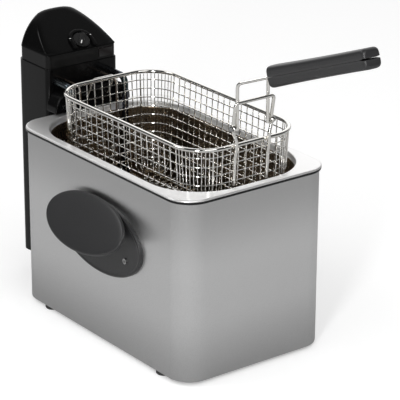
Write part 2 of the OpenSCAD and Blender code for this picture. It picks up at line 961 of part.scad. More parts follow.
module thermostat_bulb() {
    color("peru") placed() bulb(-1);
}

module cutout_bulb() {
    color("peru") placed() bulb(1);
}

// ---- basket ----

// Half width of the basket's floor at a place along it, rounded at its corners.
function reach(half, other, along) =
    let (r = basket_r - basket_taper, start = low(other) - r)
        abs(along) <= start ? low(half)
        : low(half) - r + sqrt(r * r - pow(abs(along) - start, 2));

// One closed loop of round wire with rounded corners, level.
module loop(w, l, corner, r) {
    for (c = [0:3])
        rotate([0, 0, 90 * c]) {
            x = (c % 2 == 0 ? w : l) / 2 - corner;
            y = (c % 2 == 0 ? l : w) / 2 - corner;
            translate([x, y, 0])
                bend(corner, r, 0, 90);
            translate([x + corner, y, 0])
                rotate([90, 0, 0]) cylinder(h = 2 * y, r = r);
        }
}

// Sideways reach and height of a mesh wire's upper end, from its place at the floor.
function wire_top(bottom, z) =
    let (high = rim_z - rim_r - 0.2)
        [bottom + (high - z) * tan(lean), 0, high];

// A wire in the XZ plane: down one wall, across the floor at height z and up the other.
module u_wire(bottom, z) {
    top = wire_top(bottom, z);
    wire(arcs([[-top[0], 0, top[2]], [-bottom, 0, z], [bottom, 0, z], top],
              [mesh_bend, mesh_bend]), mesh_r, [0, 1, 0], 6);
}

// Basket's half sizes at the floor, at the height z
function low(half) = half - basket_taper;

module basket_cross_wires() {
    span = basket_l / 2 - basket_r;
    rows = floor(span / mesh_pitch);
    color("silver")
        placed()
            for (i = [-rows - 1:rows]) {
                y = (i + 0.5) * mesh_pitch;
                translate([0, basket_y + y, 0])
                    u_wire(reach(basket_w / 2, basket_l / 2, y), mesh_z - layer / 2);
            }
}

module basket_long_wires() {
    rows = floor((low(basket_w / 2) - mesh_bend) / mesh_pitch);
    color("silver")
        placed()
            for (i = [-rows:rows - 1]) {
                x = (i + 0.5) * mesh_pitch;
                translate([x, basket_y, 0])
                    rotate([0, 0, 90])
                        u_wire(reach(basket_l / 2, basket_w / 2, x), mesh_z + layer / 2);
            }
}

// Wires down each rounded corner, turned in under the floor.
module basket_corner_wires() {
    z = mesh_z + layer * 1.5;
    bottom = basket_r - basket_taper;
    color("silver")
        placed()
            for (c = [0:3], a = [18, 31, 44, 57]) {
                sx = c == 0 || c == 3 ? 1 : -1;
                sy = c < 2 ? 1 : -1;
                angle = sx * sy > 0 ? a : 90 - a;
                translate([sx * (basket_w / 2 - basket_r), basket_y + sy * (basket_l / 2 - basket_r), 0])
                    rotate([0, 0, 90 * c + angle])
                        wire(arcs([[12, 0, z], [bottom, 0, z], wire_top(bottom, z)], [mesh_bend]),
                             mesh_r, [0, 1, 0], 6);
            }
}

module basket_rings() {
    first = mesh_z + mesh_bend + 2;
    count = floor((rim_z - rim_r - 4 - first) / mesh_pitch);
    color("silver")
        placed()
            for (i = [0:count]) {
                z = first + i * mesh_pitch;
                inset = hundredth(layer + (rim_z - rim_r - z) * tan(lean));
                translate([0, basket_y, z])
                    loop(basket_w - 2 * inset, basket_l - 2 * inset, basket_r - inset, mesh_r);
            }
}

module basket_rim() {
    color("silver")
        placed()
            translate([0, basket_y, rim_z])
                loop(basket_w, basket_l, basket_r, rim_r);
}

// Bent rods on the basket's front, which carry the eyes of the handle.
module basket_bracket() {
    low_z = rim_z - rod_l;
    out = mesh_r + yoke_r + 0.1;
    low_y = rim_front + (rim_z - low_z) * tan(lean) - out;
    color("silver")
        placed()
            difference() {
                union() {
                    wire(arcs([[-rod_x, low_y, low_z], [-rod_x, rim_front - out + 0.9, rim_z - 14],
                               [-rod_x, rod_y, rim_z - 3], [-rod_x, rod_y, rim_z + 6],
                               [-eye_x, pivot_y, pivot_z - 5], [-eye_x, pivot_y, pivot_z + 4],
                               [-eye_x, bar_y, bar_z], [eye_x, bar_y, bar_z],
                               [eye_x, pivot_y, pivot_z + 4], [eye_x, pivot_y, pivot_z - 5],
                               [rod_x, rod_y, rim_z + 6], [rod_x, rod_y, rim_z - 3],
                               [rod_x, rim_front - out + 0.9, rim_z - 14], [rod_x, low_y, low_z]],
                              [8, 5, 5, 5, 5, 4, 4, 5, 5, 5, 5, 8], 30), yoke_r, [1, 0, 0.1]);
                    both_sides()
                        translate([eye_x - eye_w / 2, pivot_y, pivot_z])
                            rotate([0, 90, 0]) cylinder(h = eye_w, r = eye_r);
                }
                both_sides()
                    translate([eye_x - eye_w, pivot_y, pivot_z])
                        rotate([0, 90, 0]) cylinder(h = 2 * eye_w, r = pin_r + running);
            }
}

pin_r = 1.8;

// ---- basket handle ----

module handle_pins() {
    head_x = eye_x + eye_w / 2 + 0.4;
    color("silver")
        placed()
            both_sides() {
                translate([arm_x + yoke_r + 0.05, pivot_y, pivot_z])
                    rotate([0, 90, 0]) cylinder(h = head_x - arm_x - yoke_r - 0.05, r = pin_r);
                translate([head_x, pivot_y, pivot_z])
                    rotate([0, 90, 0]) {
                        cylinder(h = 1, r1 = pin_r, r2 = 3.1);
                        translate([0, 0, 1]) cylinder(h = 1.6, r1 = 3.1, r2 = 2);
                    }
            }
}

module handle_yoke() {
    s = sin(grip_tilt);
    c = cos(grip_tilt);
    color("silver")
        placed()
            both_sides()
                wire(arcs([[arm_x, pivot_y, pivot_z - 3], [arm_x, pivot_y, pivot_z + arm_h],
                           [yoke_x, grip_y + 4 * c, grip_z - 4 * s],
                           [yoke_x, grip_y - yoke_in * c, grip_z + yoke_in * s]],
                          [7, 8]), yoke_r, [1, 0, 0]);
}

// Upper half of the grip's section at a share of its length, flat at the seam.
function grip_half(f, side) =
    let (tip = f > 0.96 ? sqrt(max(0, 1 - pow((f - 0.96) / 0.045, 2))) : 1,
         butt = f < 0.02 ? 0.9 + 5 * f : 1,
         w = grip_w / 2 * (1 - 0.08 * f) * (0.55 + 0.45 * tip) * butt,
         h = grip_h / 2 * (1 - 0.3 * f + 0.215 * f * f) * (0.45 + 0.55 * tip) * butt,
         seam = 0.15)
    [for (i = [0:14])
        let (a = 180 * i / 14)
            [w * sign(cos(a)) * pow(abs(cos(a)), 0.45), -grip_l * f,
             side * (seam + (h - seam) * pow(sin(a), 0.5))]];

module grip(side) {
    shares = [0, 0.006, 0.02, 0.25, 0.5, 0.75, 0.96, 0.98, 0.992, 1];
    rings = [for (f = shares) grip_half(f, side)];
    translate([0, grip_y, grip_z])
        rotate([-grip_tilt, 0, 0])
            difference() {
                skin(side > 0 ? rings : [for (r = rings) [for (i = [len(r) - 1:-1:0]) r[i]]]);
                for (x = [-yoke_x, yoke_x])
                    translate([x, 1, 0])
                        rotate([90, 0, 0]) cylinder(h = yoke_in + 2, r = yoke_r + 0.1);
            }
}

module grip_upper() {
    color([0.13, 0.13, 0.14]) placed() grip(1);
}

module grip_lower() {
    color([0.13, 0.13, 0.14]) placed() grip(-1);
}

casing();
base_tray();
feet();
carry_handle_left();
carry_handle_right();
carry_handle_screws();
head_rail();
rail_rivets();
tank();
head_front_shell();
head_rear_cover();
head_collar();
head_dome();
knob_bezel();
element_shroud();
shroud_screws();
indicator_lens();
indicator_lamps();
thermostat_body();
thermostat_knob();
knob_spindle();
thermostat_bulb();
cutout_bulb();
heating_element();
element_clips();
thermal_cutout();
reset_button();
interlock_switch();
interlock_plunger();
terminal_block();
cord_gland();
cover_screws();
basket_hanger();
basket_rim();
basket_cross_wires();
basket_long_wires();
basket_corner_wires();
basket_rings();
basket_bracket();
handle_yoke();
handle_pins();
grip_upper();
grip_lower();
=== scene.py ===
import math

import bmesh
import bpy
import numpy as np
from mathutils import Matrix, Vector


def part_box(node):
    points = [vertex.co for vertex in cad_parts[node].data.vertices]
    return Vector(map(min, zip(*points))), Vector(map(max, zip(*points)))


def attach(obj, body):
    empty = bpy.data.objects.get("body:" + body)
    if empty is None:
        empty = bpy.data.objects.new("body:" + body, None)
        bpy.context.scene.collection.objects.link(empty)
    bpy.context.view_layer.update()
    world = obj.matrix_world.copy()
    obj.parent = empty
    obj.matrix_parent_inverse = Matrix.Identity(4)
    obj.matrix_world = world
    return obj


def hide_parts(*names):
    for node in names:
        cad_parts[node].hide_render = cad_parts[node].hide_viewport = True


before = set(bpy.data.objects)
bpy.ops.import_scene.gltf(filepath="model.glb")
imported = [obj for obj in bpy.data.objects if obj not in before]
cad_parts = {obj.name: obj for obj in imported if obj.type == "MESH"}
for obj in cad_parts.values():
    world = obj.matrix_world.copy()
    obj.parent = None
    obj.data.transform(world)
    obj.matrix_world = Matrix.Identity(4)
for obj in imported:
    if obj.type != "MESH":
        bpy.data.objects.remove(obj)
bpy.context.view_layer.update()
millimetre = 0.001
casingLow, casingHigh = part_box("casing")
casingMiddle = (casingLow.y + casingHigh.y) / 2  # pieces are drawn in millimetres from here

# ---- shapes ----


# Vectors divided by their own lengths.
def unit(vectors):
    return vectors / np.linalg.norm(vectors, axis=-1, keepdims=True)


# Rounded rectangle: each corner's centre plus its radius times (cos a, sin a), with the outward normals.
# The radii go rear right, rear left, front left, front right.
def roundedRectangle(width, length, radius, perCorner=16):
    radii = np.broadcast_to(np.asarray(radius, float), 4)
    angle = np.linspace(0, np.pi / 2, perCorner) + np.arange(4)[:, None] * np.pi / 2
    signs = np.array([[1, 1], [-1, 1], [-1, -1], [1, -1]])
    centre = signs * (np.array([width, length]) / 2 - radii[:, None])
    normal = np.stack([np.cos(angle), np.sin(angle)], -1)
    point = centre[:, None] + radii[:, None, None] * normal
    return point.reshape(-1, 2), normal.reshape(-1, 2)


# Normals of a closed outline that runs anticlockwise: its direction turned a quarter to the right.
def outlineNormals(points):
    ahead = unit(np.roll(points, -1, 0) - points)
    along = unit(ahead + np.roll(ahead, 1, 0))
    return np.stack([along[:, 1], -along[:, 0]], -1)


# Rings of one outline: each stands in from it along the normals by an inset, at a height.
def ringsOf(outline, profile):
    points, normals = outline
    inset, height = np.asarray(profile, float).T
    flat = points[None] - inset[:, None, None] * normals[None]
    tall = np.broadcast_to(height[:, None, None], flat.shape[:2] + (1,))
    return np.concatenate([flat, tall], -1)


# Profile of a block between two heights, whose edges follow quarter circles.
def softEdges(low, high, radius, steps=4):
    a = np.linspace(0, np.pi / 2, steps + 1)
    inset = radius * (1 - np.sin(a))
    rise = radius * (1 - np.cos(a))
    bottom = np.stack([inset, low + rise], 1)
    top = np.stack([inset[::-1], high - rise[::-1]], 1)
    return np.concatenate([bottom, top])


# Skin over rings of equally many points. It is capped at its ends, unless the rings themselves form a loop.
def skin(rings, loop=False):
    rows, count = rings.shape[:2]
    index = np.arange(rows * count).reshape(rows, count)
    lower = index if loop else index[:-1]
    upper = np.roll(index, -1, 0) if loop else index[1:]
    quads = np.stack([lower, np.roll(lower, -1, 1), np.roll(upper, -1, 1), upper], -1)
    faces = quads.reshape(-1, 4).tolist()
    if not loop:
        faces += [index[0][::-1].tolist(), index[-1].tolist()]
    return rings.reshape(-1, 3), faces


# Route whose inner corners are turned on arcs: an arc starts and ends radius * tan(turn / 2) from its corner.
def roundedPath(corners, radii, steps=8):
    corners = np.asarray(corners, float)
    route = [corners[:1]]
    radii = np.broadcast_to(radii, len(corners) - 2)
    for before, here, after, radius in zip(corners, corners[1:], corners[2:], radii):
        back, ahead = unit(before - here), unit(after - here)
        turn = math.pi - math.acos(back @ ahead)
        middle = here + unit(back + ahead) * radius / math.cos(turn / 2)
        start = here + back * radius * math.tan(turn / 2) - middle
        end = here + ahead * radius * math.tan(turn / 2) - middle
        share = np.linspace(0, 1, steps + 1)[:, None]
        arc = np.sin((1 - share) * turn) * start + np.sin(share * turn) * end
        route.append(middle + arc / math.sin(turn))
    return np.concatenate(route + [corners[-1:]])


# Tube along a path: circles square to the path, which start from the direction across it.
def tube(path, radius, across, sides=12, loop=False):
    ahead = unit(np.roll(path, -1, 0) - path) if loop else unit(np.diff(path, axis=0))
    if loop:
        forward = unit(ahead + np.roll(ahead, 1, 0))
    else:
        forward = unit(np.concatenate([ahead[:1], ahead[:-1] + ahead[1:], ahead[-1:]]))
    side = unit(np.cross(across, forward))
    up = np.cross(forward, side)
    turn = np.linspace(0, 2 * np.pi, sides, endpoint=False)[None, :, None]
    rings = path[:, None] + radius * (np.cos(turn) * side[:, None] + np.sin(turn) * up[:, None])
    return skin(rings, loop)


# Several parts as one list of points and faces.
def joined(parts):
    starts = np.cumsum([0] + [len(points) for points, _ in parts])
    faces = [[i + s for i in f] for s, (_, fs) in zip(starts.tolist(), parts) for f in fs]
    return np.concatenate([points for points, _ in parts]), faces


# Part mirrored in X.
def mirrored(part):
    return part[0] * [-1, 1, 1], part[1]


# Points of a piece drawn flat on a face, with the face's own origin, right, up and out directions.
def laidOn(part, origin, right, up, out):
    return part[0] @ np.array([right, up, out], float) + np.asarray(origin, float), part[1]


# Puts a part into the scene on its body, in place of CAD nodes.
def addPiece(name, parts, material, body, nodes=(), sharpAngle=38):
    points, faces = joined(parts if isinstance(parts, list) else [parts])
    mesh = bpy.data.meshes.new(name)
    mesh.from_pydata((points * millimetre + [0, casingMiddle, 0]).tolist(), [], faces)
    shape = bmesh.new()
    shape.from_mesh(mesh)
    bmesh.ops.recalc_face_normals(shape, faces=shape.faces)
    shape.to_mesh(mesh)
    shape.free()
    mesh.polygons.foreach_set("use_smooth", np.ones(len(mesh.polygons), bool))
    mesh.set_sharp_from_angle(angle=math.radians(sharpAngle))
    mesh.materials.append(material)
    piece = bpy.data.objects.new(name, mesh)
    bpy.context.scene.collection.objects.link(piece)
    weighted = piece.modifiers.new("evenNormals", "WEIGHTED_NORMAL")
    weighted.keep_sharp = True
    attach(piece, body)
    if nodes:
        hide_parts(*nodes)
    return piece


# ---- finishes ----


# Group that gives fine grain, broad blotches and a mask of the worn edges.
def makeSurfaceGroup():
    group = bpy.data.node_groups.new("surfaceVariation", "ShaderNodeTree")
    sockets = group.interface
    sockets.new_socket("Coordinates", in_out="INPUT", socket_type="NodeSocketVector")
    for label, start in (("Grain Scale", 900), ("Blotch Scale", 9), ("Edge Sharpness", 8)):
        sockets.new_socket(label, in_out="INPUT", socket_type="NodeSocketFloat").default_value = start
    for label in ("Grain", "Blotch", "Edge"):
        sockets.new_socket(label, in_out="OUTPUT", socket_type="NodeSocketFloat")
    nodes, links = group.nodes, group.links
    source, sink = nodes.new("NodeGroupInput"), nodes.new("NodeGroupOutput")
    for label, detail in (("Grain", 3), ("Blotch", 4)):
        noise = nodes.new("ShaderNodeTexNoise")
        noise.inputs["Detail"].default_value = detail
        links.new(source.outputs["Coordinates"], noise.inputs["Vector"])
        links.new(source.outputs[label + " Scale"], noise.inputs["Scale"])
        links.new(noise.outputs["Fac"], sink.inputs[label])
    geometry = nodes.new("ShaderNodeNewGeometry")
    above = nodes.new("ShaderNodeMath")
    above.operation = "SUBTRACT"
    above.inputs[1].default_value = 0.53
    scaled = nodes.new("ShaderNodeMath")
    scaled.operation, scaled.use_clamp = "MULTIPLY", True
    links.new(geometry.outputs["Pointiness"], above.inputs[0])
    links.new(above.outputs[0], scaled.inputs[0])
    links.new(source.outputs["Edge Sharpness"], scaled.inputs[1])
    links.new(scaled.outputs[0], sink.inputs["Edge"])
    return group


surfaceGroup = makeSurfaceGroup()


# Material whose colour, roughness and relief follow the shared variation on Object coordinates.
# A brushed finish is anisotropic round Z and takes its tones from the grain. A painted shade by height
# darkens the colour towards the bottom and the top: it gives the middle height, the reach over which the tone
# rises towards it, and the share of the tone at both ends.
def makeFinish(name, colour, shade, worn, metallic=0.0, roughness=(0.3, 0.4), grain=900, blotch=9,
               stretch=(1, 1, 1), relief=0.05, edge=4, coat=0.0, specular=0.5, brushed=0.0, paintedShadeByHeight=None):
    material = bpy.data.materials.new(name)
    material.use_nodes = True
    nodes, links = material.node_tree.nodes, material.node_tree.links
    shader = nodes["Principled BSDF"]
    shader.inputs["Metallic"].default_value = metallic
    shader.inputs["Coat Weight"].default_value = coat
    shader.inputs["Coat Roughness"].default_value = 0.05
    shader.inputs["Specular IOR Level"].default_value = specular
    place = nodes.new("ShaderNodeTexCoord")
    mapping = nodes.new("ShaderNodeMapping")
    mapping.inputs["Scale"].default_value = stretch
    variation = nodes.new("ShaderNodeGroup")
    variation.node_tree = surfaceGroup
    variation.inputs["Grain Scale"].default_value = grain
    variation.inputs["Blotch Scale"].default_value = blotch
    variation.inputs["Edge Sharpness"].default_value = edge
    links.new(place.outputs["Object"], mapping.inputs["Vector"])
    links.new(mapping.outputs["Vector"], variation.inputs["Coordinates"])
    tone = nodes.new("ShaderNodeMix")
    tone.data_type = "RGBA"
    tone.inputs[6].default_value = (*colour, 1)
    tone.inputs[7].default_value = (*shade, 1)
    wear = nodes.new("ShaderNodeMix")
    wear.data_type = "RGBA"
    wear.inputs[7].default_value = (*worn, 1)
    links.new(variation.outputs["Grain" if brushed else "Blotch"], tone.inputs[0])
    links.new(variation.outputs["Edge"], wear.inputs[0])
    links.new(tone.outputs[2], wear.inputs[6])
    links.new(wear.outputs[2], shader.inputs["Base Color"])
    # painted shade: the base colour is scaled down towards the bottom and the top, full at the middle height
    if paintedShadeByHeight:
        parts, height = nodes.new("ShaderNodeSeparateXYZ"), nodes.new("ShaderNodeMapRange")
        toMiddle = nodes.new("ShaderNodeMath")
        toMiddle.operation = "PINGPONG"
        toMiddle.inputs[1].default_value = paintedShadeByHeight[0]
        height.interpolation_type = "SMOOTHSTEP"
        height.inputs["From Max"].default_value = paintedShadeByHeight[1]
        height.inputs["To Min"].default_value = paintedShadeByHeight[2]
        scaled = nodes.new("ShaderNodeVectorMath")
        scaled.operation = "SCALE"
        links.new(place.outputs["Object"], parts.inputs[0])
        links.new(parts.outputs["Z"], toMiddle.inputs[0])
        links.new(toMiddle.outputs[0], height.inputs["Value"])
        links.new(wear.outputs[2], scaled.inputs[0])
        links.new(height.outputs["Result"], scaled.inputs["Scale"])
        links.new(scaled.outputs[0], shader.inputs["Base Color"])
    if brushed:
        around = nodes.new("ShaderNodeTangent")
        around.axis = "Z"
        shader.inputs["Anisotropic"].default_value = brushed
        links.new(around.outputs[0], shader.inputs["Tangent"])
    sheen = nodes.new("ShaderNodeMapRange")
    sheen.inputs["From Min"].default_value, sheen.inputs["From Max"].default_value = 0.3, 0.7
    sheen.inputs["To Min"].default_value, sheen.inputs["To Max"].default_value = roughness
    links.new(variation.outputs["Grain"], sheen.inputs["Value"])
    links.new(sheen.outputs["Result"], shader.inputs["Roughness"])
    bump = nodes.new("ShaderNodeBump")
    bump.inputs["Strength"].default_value = relief
    bump.inputs["Distance"].default_value = 0.0002
    links.new(variation.outputs["Grain"], bump.inputs["Height"])
    links.new(bump.outputs["Normal"], shader.inputs["Normal"])
    return material


finishes = {
    # brushed steel carries painted shade by height, darker towards the bottom and the top of the casing
    "brushedSteel": makeFinish("brushedSteel", (1.0, 1.0, 1.0), (0.6, 0.6, 0.602), (0.95, 0.95, 0.95),
                               metallic=1, roughness=(0.26, 0.42), grain=1700, stretch=(0.9, 0.9, 1.2),
                               relief=0.05, brushed=0.7, paintedShadeByHeight=(0.1, 0.08, 0.7)),
    "polishedSteel": makeFinish("polishedSteel", (0.92, 0.92, 0.92), (0.84, 0.83, 0.82), (0.95, 0.95, 0.95),
                                metallic=0.8, roughness=(0.34, 0.44), grain=700, blotch=14, relief=0.02,
                                edge=1),
    "blackGloss": makeFinish("blackGloss", (0.002, 0.002, 0.0021), (0.003, 0.003, 0.003),
                             (0.012, 0.012, 0.012),
                             roughness=(0.12, 0.2), grain=600, relief=0.02, coat=0.07, specular=0.13),
    "blackMatte": makeFinish("blackMatte", (0.006, 0.006, 0.0062), (0.009, 0.009, 0.009), (0.03, 0.03, 0.03),
                             roughness=(0.4, 0.55), grain=1400, relief=0.15, specular=0.3),
    "handleGrey": makeFinish("handleGrey", (0.022, 0.022, 0.023), (0.028, 0.028, 0.029), (0.06, 0.06, 0.06),
                             roughness=(0.26, 0.38), grain=1800, relief=0.15, specular=0.42),
    "footRubber": makeFinish("footRubber", (0.02, 0.02, 0.02), (0.035, 0.034, 0.033), (0.06, 0.06, 0.06),
                             roughness=(0.7, 0.85), grain=1200, relief=0.2),
    "wireChrome": makeFinish("wireChrome", (0.93, 0.93, 0.92), (0.84, 0.81, 0.75), (0.95, 0.95, 0.95),
                             metallic=1, roughness=(0.05, 0.14), grain=500, blotch=30, relief=0.04, edge=0),
    "tankInside": makeFinish("tankInside", (0.34, 0.28, 0.21), (0.24, 0.17, 0.1), (0.4, 0.35, 0.3),
                             metallic=1, roughness=(0.24, 0.34), grain=500, blotch=12, relief=0.02),
    # near-black steel for the tank's rolled edge: painted dark reflection on polished steel
    "rolledEdgePaintedDark": makeFinish("rolledEdgePaintedDark", (0.05, 0.05, 0.052), (0.035, 0.035, 0.036), (0.2, 0.2, 0.2),
                             metallic=1, roughness=(0.12, 0.2), grain=700, relief=0.03, edge=1),
    "heaterSheath": makeFinish("heaterSheath", (0.13, 0.1, 0.17), (0.07, 0.13, 0.1), (0.3, 0.27, 0.25),
                               metallic=1, roughness=(0.2, 0.32), grain=500, blotch=45, relief=0.05),
    "bulbCopper": makeFinish("bulbCopper", (0.42, 0.34, 0.28), (0.28, 0.2, 0.15), (0.6, 0.5, 0.42),
                             metallic=1, roughness=(0.25, 0.4), grain=500, blotch=60, relief=0.05),
    "lensBlack": makeFinish("lensBlack", (0.004, 0.003, 0.003), (0.006, 0.004, 0.004), (0.02, 0.02, 0.02),
                            roughness=(0.05, 0.09), grain=300, relief=0.01, coat=0.1, specular=0.15),
    "lampRed": makeFinish("lampRed", (0.55, 0.06, 0.02), (0.65, 0.1, 0.03), (0.7, 0.2, 0.1),
                          roughness=(0.12, 0.2), grain=400, relief=0.02, coat=0.3),
    "partCream": makeFinish("partCream", (0.55, 0.46, 0.3), (0.45, 0.37, 0.25), (0.65, 0.57, 0.42),
                            roughness=(0.5, 0.65), grain=900, blotch=40, relief=0.1),
    "buttonRed": makeFinish("buttonRed", (0.4, 0.02, 0.015), (0.33, 0.02, 0.015), (0.6, 0.1, 0.08),
                            roughness=(0.2, 0.3), grain=800, relief=0.03, coat=0.2),
    "screwSteel": makeFinish("screwSteel", (0.4, 0.4, 0.4), (0.28, 0.28, 0.28), (0.8, 0.8, 0.8),
                             metallic=1, roughness=(0.2, 0.32), grain=900, blotch=90, relief=0.05),
    "pointerWhite": makeFinish("pointerWhite", (0.75, 0.75, 0.74), (0.68, 0.68, 0.66), (0.8, 0.8, 0.8),
                               roughness=(0.3, 0.4), grain=900, relief=0.03),
}
print("finishes made:", len(finishes))

# ---- casing and tank ----

casing = {"width": 188, "length": 302, "top": 200, "bottom": 4, "corner": 26, "sheet": 1.0, "lip": 16}


# Sheet wall as a closed profile of (inset, height) carried round the rounded rectangle.
def makeCasing():
    c = casing
    t, low, top = c["sheet"], c["bottom"], c["top"]
    a = np.linspace(0, np.pi / 2, 6)
    foot = np.stack([1.6 * (1 - np.sin(a)), low + 1.6 * (1 - np.cos(a))], 1)
    lid = [[0, top - 0.4], [0.15, top - 0.1], [t / 2, top], [t - 0.15, top - 0.1], [t, top - 0.4]]
    inner = [[t, low + t + 0.8], [t + 0.8, low + t], [c["lip"], low + t], [c["lip"], low]]
    profile = np.concatenate([foot, lid, inner])
    outline = roundedRectangle(c["width"], c["length"], c["corner"], 24)
    wall = skin(ringsOf(outline, profile), loop=True)
    addPiece("casingSheet", wall, finishes["brushedSteel"], "shell", ["casing"])


tank = {"over": 2.2, "flange": 11.5, "opening": 58, "depth": 182, "taper": 4, "floor": 16, "sheet": 1.0,
        "roll": 5}


# Tank as rings that change from the rolled edge's outline to the opening's, then run down to the floor
# on an arc.
def makeTank():
    t = tank
    top = casing["top"] + t["roll"]
    wide, long = casing["width"] + 2 * t["over"], casing["length"] + 2 * t["over"]
    edgeOutline = roundedRectangle(wide, long, casing["corner"] + t["over"], 24)
    openOutline = roundedRectangle(wide - 2 * t["flange"], long - 2 * t["flange"], t["opening"], 24)
    a = np.linspace(0, np.pi / 2, 9)

    # Arc at the floor: (inset, height) on a quarter circle
    def floorArc(radius, inset, low):
        return np.stack([inset + radius * (1 - np.cos(a)), low + radius * (1 - np.sin(a))], 1)

    floorHeight = top - t["depth"]
    outside = floorArc(t["floor"] + t["sheet"], t["taper"] - t["sheet"], floorHeight - t["sheet"])[::-1]
    under = [[-1, top - 8.2], [-2.2, top - 4.6], [-2.6, top - 1]]
    roll = [[2.4, top - 1], [1.4, top - 1.6], [1.3, casing["top"] + 0.3], [0.5, casing["top"] + 0.3],
            [0.12, casing["top"] + 0.5], [0, casing["top"] + 0.9], [0, top - 1.9], [0.12, top - 1.2],
            [0.5, top - 0.55], [1.1, top - 0.12], [1.9, top]]
    mouth = [[-2.9, top], [-2.3, top - 0.15], [-1.8, top - 0.6], [-1.4, top - 1.6], [-1.25, top - 4],
             [-0.95, top - 5.2], [-0.3, top - 6.6], [0, top - 8.2]]
    inside = floorArc(t["floor"], t["taper"], floorHeight)
    rings = np.concatenate([ringsOf(openOutline, outside), ringsOf(openOutline, under),
                            ringsOf(edgeOutline, roll), ringsOf(openOutline, mouth),
                            ringsOf(openOutline, inside)])
    piece = addPiece("fryingTank", skin(rings), finishes["polishedSteel"], "tank", ["tank"])
    piece.data.materials.append(finishes["rolledEdgePaintedDark"])
    piece.data.materials.append(finishes["tankInside"])
    first = len(outside) + len(under)
    count = len(openOutline[0])
    row = np.minimum(np.arange(len(piece.data.polygons)) // count, len(rings) - 1)
    inner = first + len(roll) + len(mouth) - 2
    # the roll's underside and outer side take the near-black finish, a painted dark reflection
    finish = np.where((row >= first) & (row < first + 6), 1, np.where(row >= inner, 2, 0))
    finish[-2:] = [0, 2]
    piece.data.polygons.foreach_set("material_index", finish.astype(np.int32))


makeCasing()
makeTank()

handle = {"backA": 75, "backB": 41, "backZ": 125, "backT": 4.5, "hoodA": 67, "hoodB": 31, "hoodT": 5,
          "tilt": 33, "out": 21, "up": 18.5, "dish": 1, "neckA": 52, "neckB": 14, "neckUp": 22, "forward": 6,
          "flare": (9, 6)}


# Carry handle as ellipses: each has half sizes, a distance out, a height and a tilt about its long axis.
# The neck flares towards its root with the fourth power of what is left of its length.
def makeCarryHandle():
    h = handle
    slope = math.radians(h["tilt"])
    s, c = math.sin(slope), math.cos(slope)
    side, half = casing["width"] / 2, h["hoodT"] / 2
    hoodZ = h["backZ"] + h["up"]
    flat = h["backT"] - h["dish"]
    a, b, z = h["backA"], h["backB"], h["backZ"]
    rows = [[a, b, 0, z, 0], [a, b, h["backT"] - 1.7, z, 0], [a - 0.25, b - 0.25, h["backT"] - 0.9, z, 0],
            [a - 1, b - 1, h["backT"] - 0.25, z, 0], [a - 2, b - 2, h["backT"], z, 0],
            [a - 3, b - 3, h["backT"] - 0.3, z, 0], [a - 4.4, b - 4.4, flat, z, 0]]
    share = np.linspace(0, 1, 13)[:, None]
    root = np.array([h["neckA"], h["neckB"], flat, z + h["neckUp"]])
    join = root + [-2, -2, 0, 0]
    join[2:] = h["out"] - 10 * s - half * c, hoodZ + 10 * c - half * s
    neck = root + share * (join - root)
    neck[:, :2] *= 1 - 0.1 * np.sin(np.pi * share)
    wide, low = h["flare"]
    neck += (1 - share) ** 4 * [wide, low, 0, -low]
    rows += np.concatenate([neck, slope * share], 1).tolist()
    plate = [[-2.6, -2.2, -1], [-1.2, -1, -0.86], [-0.3, -0.3, -0.5], [0, 0, 0], [-0.2, -0.2, 0.45],
             [-0.9, -0.9, 0.78], [-2.2, -2.2, 0.92], [-6, -5, 1], [-14, -9, 1.06], [-26, -13, 1.12],
             [-40, -18, 1.16]]
    rows += [[h["hoodA"] + p[0], h["hoodB"] + p[1], h["out"] + p[2] * half * c, hoodZ + p[2] * half * s,
              slope] for p in plate]
    longHalf, shortHalf, out, up, tilt = np.array(rows).T[:, :, None]
    turn = np.linspace(0, 2 * np.pi, 120, endpoint=False)[None]
    x = side + out - shortHalf * np.sin(tilt) * np.sin(turn)
    y = longHalf * np.cos(turn) - h["forward"]
    height = up + shortHalf * np.cos(tilt) * np.sin(turn)
    return skin(np.stack([x, y, height], -1))


rightHandle = makeCarryHandle()
for side, part in (("Right", rightHandle), ("Left", mirrored(rightHandle))):
    addPiece("carryHandle" + side, part, finishes["handleGrey"], "shell", ["carry_handle_" + side.lower()])
print("casing, tank and carry handles made")

# ---- control head ----

head = {"width": 94, "front": 163, "rear": 225, "low": 24, "top": 253, "cover": 15, "collar": 14.5,
        "collarInset": 1.3, "wall": 2.5, "domeInset": 1.5, "domeRise": 40.5, "domeSink": 15, "domeEdge": 0.8,
        "fillet": 5, "slopeRise": 38.2, "tongue": (56.4, 5.7, 6.15), "neck": (31.4, 10, 4),
        "tongueEnds": (61.8, 161.8)}
domeFront, domeRear = head["front"] + head["domeInset"] + 1, head["rear"] - head["domeInset"] - 1
slopeAngle = math.atan(head["slopeRise"] / (domeRear - domeFront))
slopeOrigin = [0, domeFront, head["top"] + head["collar"] + head["domeEdge"]]
slopeUp = [0, math.cos(slopeAngle), math.sin(slopeAngle)]
slopeOut = [0, -math.sin(slopeAngle), math.cos(slopeAngle)]


# Lower of two heights, with a round of the given width where they meet.
def softLower(a, b, width):
    near = np.maximum(width - np.abs(a - b), 0) / width
    return np.minimum(a, b) - near * near * width / 4


# Outline of the head's column, which may stand in, with its outward normals.
def headOutline(inset):
    h = head
    radii = np.array([10, 10, 6, 6]) - inset / 2
    points, normals = roundedRectangle(h["width"] - 2 * inset, h["rear"] - h["front"] - 2 * inset, radii, 12)
    return points + [0, (h["front"] + h["rear"]) / 2], normals


